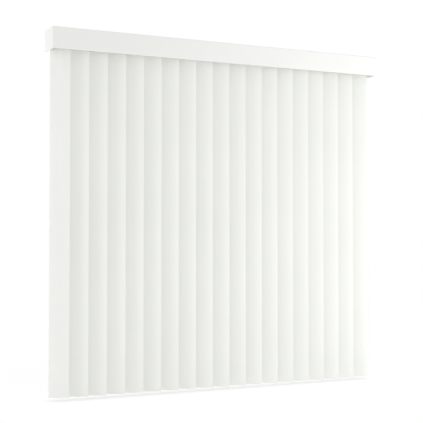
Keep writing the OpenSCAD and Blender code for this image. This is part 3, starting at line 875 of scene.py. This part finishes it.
class BLIND_OT_brackets(bpy.types.Operator):
    """Finishes the wall brackets and the rail clips"""

    bl_idname = "blind.brackets"
    bl_label = "Finish brackets"

    def execute(self, context):
        finishes = context.scene.blind_finishes
        coat(BRACKET_NODES, plated_steel("bracket_zinc", finishes.bracket, crystals=260.0))
        coat(CLIP_NODES, plated_steel("clip_spring_steel", finishes.clip, crystals=500.0))
        return {"FINISHED"}


# Stage

def shown_rays(tree):
    """One for the rays that should see a white background: camera, glossy and transmission rays."""
    rays = add_node(tree, "ShaderNodeLightPath")
    seen = calc(tree, "MAXIMUM", rays.outputs["Is Camera Ray"], rays.outputs["Is Glossy Ray"])
    return calc(tree, "MAXIMUM", seen, rays.outputs["Is Transmission Ray"])


def add_shaders(tree, first, second):
    """The sum of two shaders."""
    return make_in_order(tree, "ShaderNodeAddShader", (first, second)).outputs[0]


def mix_shaders(tree, factor, first, second):
    """The first shader where the factor is zero, and the second where it is one."""
    return make_in_order(tree, "ShaderNodeMixShader", (factor, first, second)).outputs[0]


def lamp(name, place, target, size, watts):
    """A soft area lamp that faces a target."""
    data = bpy.data.lights.new(name, "AREA")
    data.shape = "RECTANGLE"
    data.size, data.size_y = size
    data.energy = watts
    light = bpy.data.objects.new(name, data)
    light.location = place
    light.rotation_euler = (Vector(target) - Vector(place)).to_track_quat("-Z", "Y").to_euler()
    bpy.context.scene.collection.objects.link(light)


class BLIND_OT_stage(bpy.types.Operator):
    """Sets the floor, the lamps, the world and the camera"""

    bl_idname = "blind.stage"
    bl_label = "Set stage"

    def execute(self, context):
        stage = context.scene.blind_stage
        self.lay_floor(stage, context.scene.blind_finishes)
        self.light_world(stage.ambient, stage.lean)
        self.hang_lamps(stage)
        self.place_camera(stage)
        context.scene.view_settings.view_transform = "Standard"
        return {"FINISHED"}

    def lay_floor(self, stage, finishes):
        """A round matt floor, which keeps the blind's shadow and fades to white at its rim."""
        height = VANE_FOOT - stage.floor_gap
        corners = 96
        mesh = bpy.data.meshes.new("floor")
        turns = [2 * math.pi * corner / corners for corner in range(corners)]
        radius = stage.floor_radius
        rim = [(radius * math.cos(turn), radius * math.sin(turn), height) for turn in turns]
        mesh.from_pydata(rim, [], [tuple(range(corners))])
        floor = bpy.data.objects.new("floor", mesh)
        bpy.context.scene.collection.objects.link(floor)
        mesh.materials.append(self.floor_material(stage, finishes, height))

    def floor_material(self, stage, finishes, height):
        """Nearly white where it shows, with painted shade close under the vanes where ambient occlusion
        darkens its glow, and matt for the light it bounces.
        """
        material = bpy.data.materials.new("floor_white")
        material.use_nodes = True
        tree = material.node_tree
        tree.nodes.clear()
        # Painted shade: ambient occlusion darkens the floor's glow close under the vanes, where a contact
        # shadow would fall
        open_share = make(tree, "ShaderNodeAmbientOcclusion", output="AO", Distance=stage.painted_shade_reach)
        painted_contact_shade = calc(tree, "POWER", open_share, stage.painted_shade_power)
        glow_with_painted_shade = scaled(tree, painted_contact_shade, stage.floor_glow)
        glow_with_painted_shade = make(tree, "ShaderNodeEmission", Color=WHITE, Strength=glow_with_painted_shade)
        shadowed = make(tree, "ShaderNodeBsdfDiffuse", Color=tuple(finishes.shadow) + (1.0,))
        place = add_node(tree, "ShaderNodeTexCoord").outputs["Object"]
        ends = (place, (0.0, 0.0, height))
        reach = make_in_order(tree, "ShaderNodeVectorMath", ends, operation="DISTANCE").outputs["Value"]
        fade = make(
            tree, "ShaderNodeMapRange", Value=reach,
            From_Min=stage.fade_start * stage.floor_radius, From_Max=stage.fade_end * stage.floor_radius,
        )
        white = make(tree, "ShaderNodeEmission", Color=WHITE, Strength=1.0)
        shown = mix_shaders(tree, fade, add_shaders(tree, glow_with_painted_shade, shadowed), white)
        matt = make(tree, "ShaderNodeBsdfDiffuse", Color=tuple(finishes.floor) + (1.0,))
        light = make(tree, "ShaderNodeEmission", Color=WHITE, Strength=stage.floor_light)
        finished = mix_shaders(tree, shown_rays(tree), add_shaders(tree, matt, light), shown)
        output = add_node(tree, "ShaderNodeOutputMaterial")
        tree.links.new(finished, output.inputs["Surface"])
        return material

    def light_world(self, ambient, lean):
        """Soft light from all round, graded to one side, with white for the rays that show the background."""
        world = bpy.data.worlds.new("studio")
        world.use_nodes = True
        tree = world.node_tree
        tree.nodes.clear()
        direction = add_node(tree, "ShaderNodeTexCoord").outputs["Generated"]
        both = (direction, tuple(lean))
        grade = make_in_order(tree, "ShaderNodeVectorMath", both, operation="DOT_PRODUCT").outputs["Value"]
        graded = calc(tree, "ADD", grade, ambient)
        soft = make(tree, "ShaderNodeBackground", Color=WHITE, Strength=graded)
        white = make(tree, "ShaderNodeBackground", Color=WHITE, Strength=1.0)
        output = add_node(tree, "ShaderNodeOutputWorld")
        tree.links.new(mix_shaders(tree, shown_rays(tree), soft, white), output.inputs["Surface"])
        bpy.context.scene.world = world

    def hang_lamps(self, stage):
        """Four soft lamps round the blind, all level with its middle."""
        middle = VANE_FOOT / 2
        face = VALANCE_LOW.y
        centre = (0.0, face, middle)
        left_end = (VALANCE_LOW.x, face, middle)
        right_part = (0.6 * VALANCE_HIGH.x, face, middle)
        tall = (0.7, 2.2)
        lamp("key_lamp", place=(2.2, -1.9, middle), target=right_part, size=(1.2, 2.2), watts=stage.key)
        lamp("front_lamp", place=(-1.2, -4.5, middle), target=centre, size=(2.5, 2.0), watts=stage.front)
        lamp("side_lamp", place=(-3.9, -0.5, middle), target=centre, size=tall, watts=stage.side)
        lamp("rim_lamp", place=(-3.4, 0.9, middle), target=left_end, size=tall, watts=stage.rim)

    def place_camera(self, stage):
        """The camera at the photograph's viewing angle."""
        data = bpy.data.cameras.new("camera")
        data.lens = stage.lens
        data.sensor_width = 36.0
        data.clip_end = 100.0
        camera = bpy.data.objects.new("camera", data)
        camera.location = (stage.camera_x, stage.camera_y, stage.camera_z)
        camera.rotation_euler = Euler((math.pi / 2 + stage.pitch, 0.0, -stage.yaw), "XYZ")
        bpy.context.scene.collection.objects.link(camera)
        bpy.context.scene.camera = camera


# Sidebar and registration

class VIEW3D_PT_blind(bpy.types.Panel):
    """Sidebar panel of the blind"""

    bl_label = "Vertical Blind"
    bl_idname = "VIEW3D_PT_blind"
    bl_space_type = "VIEW_3D"
    bl_region_type = "UI"
    bl_category = "Blind"

    def draw(self, context):
        layout = self.layout
        for group in GROUPS:
            box = layout.box()
            settings = getattr(context.scene, group)
            for name in settings.__annotations__:
                box.prop(settings, name)
        for operator in OPERATORS:
            layout.operator(operator.bl_idname)


GROUPS = {
    "blind_vanes": BlindVaneSizes,
    "blind_hangers": BlindHangerSizes,
    "blind_fasteners": BlindFastenerSizes,
    "blind_finishes": BlindFinishes,
    "blind_stage": BlindStage,
}
OPERATORS = [
    BLIND_OT_stage, BLIND_OT_vanes, BLIND_OT_hangers, BLIND_OT_fasteners, BLIND_OT_valance, BLIND_OT_headrail,
    BLIND_OT_brackets,
]


def register():
    """Registers the groups, the operators and the panel."""
    for name, group in GROUPS.items():
        bpy.utils.register_class(group)
        setattr(bpy.types.Scene, name, bpy.props.PointerProperty(type=group))
    for operator in OPERATORS:
        bpy.utils.register_class(operator)
    bpy.utils.register_class(VIEW3D_PT_blind)


def unregister():
    """Takes them out again."""
    bpy.utils.unregister_class(VIEW3D_PT_blind)
    for operator in reversed(OPERATORS):
        bpy.utils.unregister_class(operator)
    for name, group in reversed(GROUPS.items()):
        delattr(bpy.types.Scene, name)
        bpy.utils.unregister_class(group)


def main():
    """Builds the blind and its stage."""
    register()
    bpy.ops.blind.stage()
    bpy.ops.blind.vanes()
    bpy.ops.blind.hangers()
    bpy.ops.blind.fasteners()
    bpy.ops.blind.valance()
    bpy.ops.blind.headrail()
    bpy.ops.blind.brackets()


if __name__ == "__main__":
    main()
